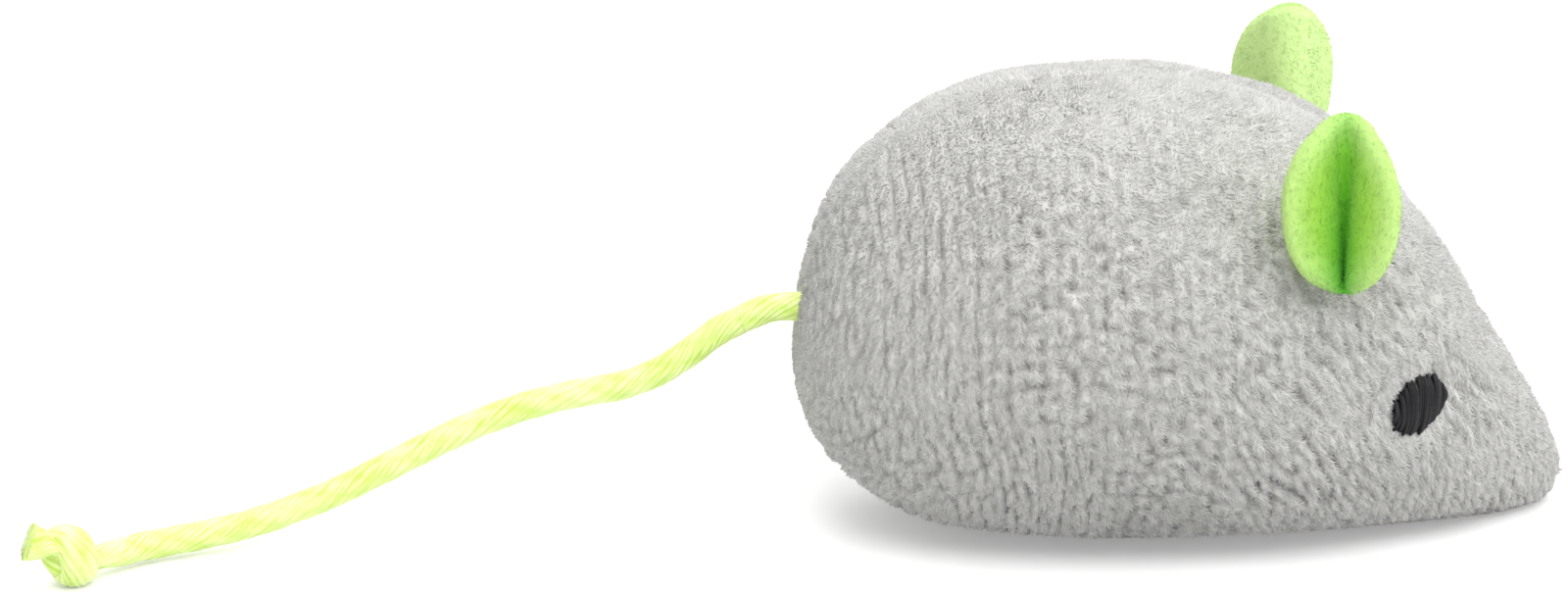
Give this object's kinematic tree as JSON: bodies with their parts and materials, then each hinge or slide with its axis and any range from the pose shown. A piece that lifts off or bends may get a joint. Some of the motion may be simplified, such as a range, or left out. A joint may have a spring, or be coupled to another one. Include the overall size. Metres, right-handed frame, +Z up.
{
  "type": "catnip mouse",
  "caption": "Stuffed plush toy mouse for a cat, with a pointed snout, folded felt ears, embroidered eyes and a knotted satin cord tail, filled with fibre round a clump of catnip.",
  "frame": {"origin": "on the resting surface, under the middle of the body and ears", "axes": "+X towards the nose, +Y towards the mouse's left, +Z up"},
  "size_m": [0.1085, 0.0363, 0.0328],
  "materials": {
    "plush": "short-pile knitted plush, light grey",
    "felt": "wool-like felt, lime green",
    "satin_cord": "glossy satin braid, neon yellow-green",
    "black_thread": "black embroidery thread, satin stitch",
    "grey_thread": "grey sewing thread",
    "green_thread": "green sewing thread",
    "fibre": "white polyester fibre",
    "interfacing": "white non-woven interfacing",
    "dried_leaf": "crushed dried catnip leaf"
  },
  "bodies": {
    "plush_body": {"left_side_panel": "plush", "right_side_panel": "plush", "belly_panel": "plush", "front_stuffing": "fibre", "rear_stuffing": "fibre", "catnip_filling": "dried_leaf", "left_ear_root": "felt", "right_ear_root": "felt", "left_ear_stitch": "green_thread", "right_ear_stitch": "green_thread", "left_eye": "black_thread", "right_eye": "black_thread", "left_eye_backing": "interfacing", "right_eye_backing": "interfacing", "tail_anchor": "satin_cord", "tail_stitch": "grey_thread", "spine_seam_thread": "grey_thread", "rump_seam_thread": "grey_thread", "belly_seam_thread": "grey_thread"},
    "tail_root": {"tail_root": "satin_cord"},
    "tail": {"tail_cord": "satin_cord", "tail_knot": "satin_cord"},
    "left_ear": {"left_ear": "felt"},
    "right_ear": {"right_ear": "felt"}
  },
  "joints": [
    {"name": "tail_swing", "type": "hinge", "parent": "plush_body", "child": "tail_root", "pos_m": [-0.02857, 0, 0.0158], "axis": [0, 0, 1], "range_deg": [-75, 75]},
    {"name": "tail_lift", "type": "hinge", "parent": "tail_root", "child": "tail", "pos_m": [-0.033, 0, 0.01375], "axis": [0, 1, 0], "range_deg": [0, 85]},
    {"name": "left_ear_flop", "type": "hinge", "parent": "plush_body", "child": "left_ear", "pos_m": [0.00981, 0.01303, 0.02015], "axis": [-1, 0, 0], "range_deg": [-15, 60], "stiffness_Nm_per_rad": 0.0002},
    {"name": "right_ear_flop", "type": "hinge", "parent": "plush_body", "child": "right_ear", "pos_m": [0.00898, -0.01328, 0.02054], "axis": [0.9511, -0.309, 0], "range_deg": [-15, 60], "stiffness_Nm_per_rad": 0.0002}
  ]
}
